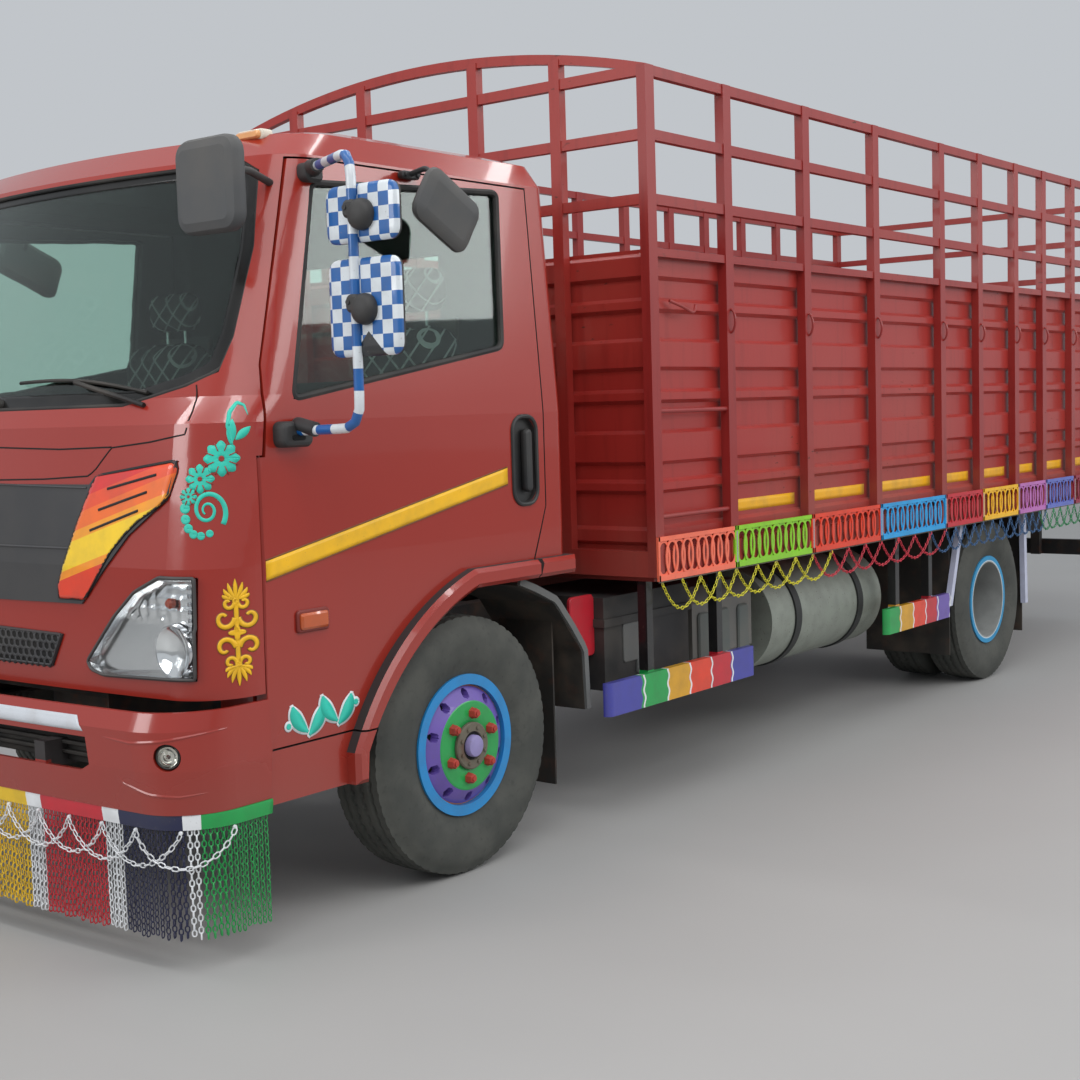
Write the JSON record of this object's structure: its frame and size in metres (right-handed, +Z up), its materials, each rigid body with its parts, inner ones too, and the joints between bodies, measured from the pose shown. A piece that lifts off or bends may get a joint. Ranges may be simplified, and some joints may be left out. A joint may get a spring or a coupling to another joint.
{
  "type": "decorated truck",
  "caption": "Medium cab-over goods truck with a tilting cab, steered front axle, twin rear wheels, a high-sided open steel load body and painted chain ornament.",
  "frame": {"origin": "on the ground under the middle of the truck's overall length and width", "axes": "+X forward, +Y to the truck's left, +Z up"},
  "size_m": [7.992, 2.901, 2.8838],
  "materials": {
    "cab_paint": "gloss",
    "body_paint": "satin",
    "chassis_paint": "satin",
    "castings": "rough",
    "tyre": "matt",
    "wheel_paint": "gloss",
    "glass": "clear",
    "lamp_glass": "clear",
    "grille_black": "gloss",
    "trim_plastic": "matt",
    "tank_plastic": "matt",
    "seat_cloth": "woven",
    "chain_paint": "gloss",
    "lattice_paint": "gloss",
    "guard_paint": "gloss"
  },
  "bodies": {
    "chassis": {"frame_rails": "chassis_paint", "leaf_springs": "chassis_paint", "front_axle": "castings", "rear_axle": "castings", "engine_block": "castings", "propshaft": "chassis_paint", "front_bumper": "cab_paint", "bumper_chains": "chain_paint", "fuel_tank": "chassis_paint", "side_tank": "tank_plastic", "battery_box": "trim_plastic", "mudguards": "trim_plastic", "side_guards": "guard_paint", "deck_floor": "body_paint", "side_frames": "body_paint", "side_sheets": "body_paint", "headboard": "body_paint", "lattice_panels": "lattice_paint", "chain_fringes": "chain_paint", "rear_frame": "body_paint", "hinge_pins": "body_paint", "rear_bar": "chassis_paint"},
    "cab": {"cab_shell": "cab_paint", "cab_glass": "glass", "grille_panel": "grille_black", "headlamps": "lamp_glass", "dashboard": "trim_plastic", "seat_bases": "chassis_paint", "seat_cushions": "seat_cloth", "seat_backs": "seat_cloth", "front_mirror": "trim_plastic"},
    "cab_door_left": {"door_left": "cab_paint", "door_glass_left": "glass", "mirrors_left": "trim_plastic"},
    "cab_door_right": {"door_right": "cab_paint", "door_glass_right": "glass", "mirrors_right": "trim_plastic"},
    "steering_handwheel": {"steering_wheel": "trim_plastic"},
    "knuckle_left": {"knuckle_left": "castings"},
    "knuckle_right": {"knuckle_right": "castings"},
    "front_wheel_left": {"tyre_front_left": "tyre", "rim_front_left": "wheel_paint"},
    "front_wheel_right": {"tyre_front_right": "tyre", "rim_front_right": "wheel_paint"},
    "rear_wheels_left": {"tyres_rear_left": "tyre", "rims_rear_left": "wheel_paint"},
    "rear_wheels_right": {"tyres_rear_right": "tyre", "rims_rear_right": "wheel_paint"},
    "rear_leaf_left": {"rear_door_left": "body_paint"},
    "rear_leaf_right": {"rear_door_right": "body_paint"}
  },
  "joints": [
    {"name": "cab_tilt", "type": "hinge", "parent": "chassis", "child": "cab", "pos_m": [3.706, 0, 0.742], "axis": [0, 1, 0], "range_deg": [0, 45]},
    {"name": "door_left_swing", "type": "hinge", "parent": "cab", "child": "cab_door_left", "pos_m": [3.603, 0.988, 1], "axis": [0, 0, -1], "range_deg": [0, 65]},
    {"name": "door_right_swing", "type": "hinge", "parent": "cab", "child": "cab_door_right", "pos_m": [3.603, -0.988, 1], "axis": [0, 0, 1], "range_deg": [0, 65]},
    {"name": "steer_left", "type": "hinge", "parent": "chassis", "child": "knuckle_left", "pos_m": [2.756, 0.8, 0.425], "axis": [0, 0, 1], "range_deg": [-35, 35]},
    {"name": "steer_right", "type": "hinge", "parent": "chassis", "child": "knuckle_right", "pos_m": [2.756, -0.8, 0.425], "axis": [0, 0, 1], "range_deg": [-35, 35]},
    {"name": "handwheel_turn", "type": "hinge", "parent": "cab", "child": "steering_handwheel", "pos_m": [3.156, -0.6, 1.46], "axis": [-0.5736, 0, 0.8192], "range_deg": [-560, 560]},
    {"name": "front_left_roll", "type": "hinge", "parent": "knuckle_left", "child": "front_wheel_left", "pos_m": [2.756, 0.888, 0.425], "axis": [0, 1, 0], "continuous": true},
    {"name": "front_right_roll", "type": "hinge", "parent": "knuckle_right", "child": "front_wheel_right", "pos_m": [2.756, -0.888, 0.425], "axis": [0, 1, 0], "continuous": true},
    {"name": "rear_left_roll", "type": "hinge", "parent": "chassis", "child": "rear_wheels_left", "pos_m": [-1.464, 0.808, 0.425], "axis": [0, 1, 0], "continuous": true},
    {"name": "rear_right_roll", "type": "hinge", "parent": "chassis", "child": "rear_wheels_right", "pos_m": [-1.464, -0.808, 0.425], "axis": [0, 1, 0], "continuous": true},
    {"name": "leaf_left_swing", "type": "hinge", "parent": "chassis", "child": "rear_leaf_left", "pos_m": [-3.978, 1.09, 1.5], "axis": [0, 0, -1], "range_deg": [0, 180]},
    {"name": "leaf_right_swing", "type": "hinge", "parent": "chassis", "child": "rear_leaf_right", "pos_m": [-3.978, -1.09, 1.5], "axis": [0, 0, 1], "range_deg": [0, 180]}
  ],
  "couplings": [
    {"joint": "steer_right", "follows": "steer_left", "ratio": 1},
    {"joint": "handwheel_turn", "follows": "steer_left", "ratio": 16}
  ]
}
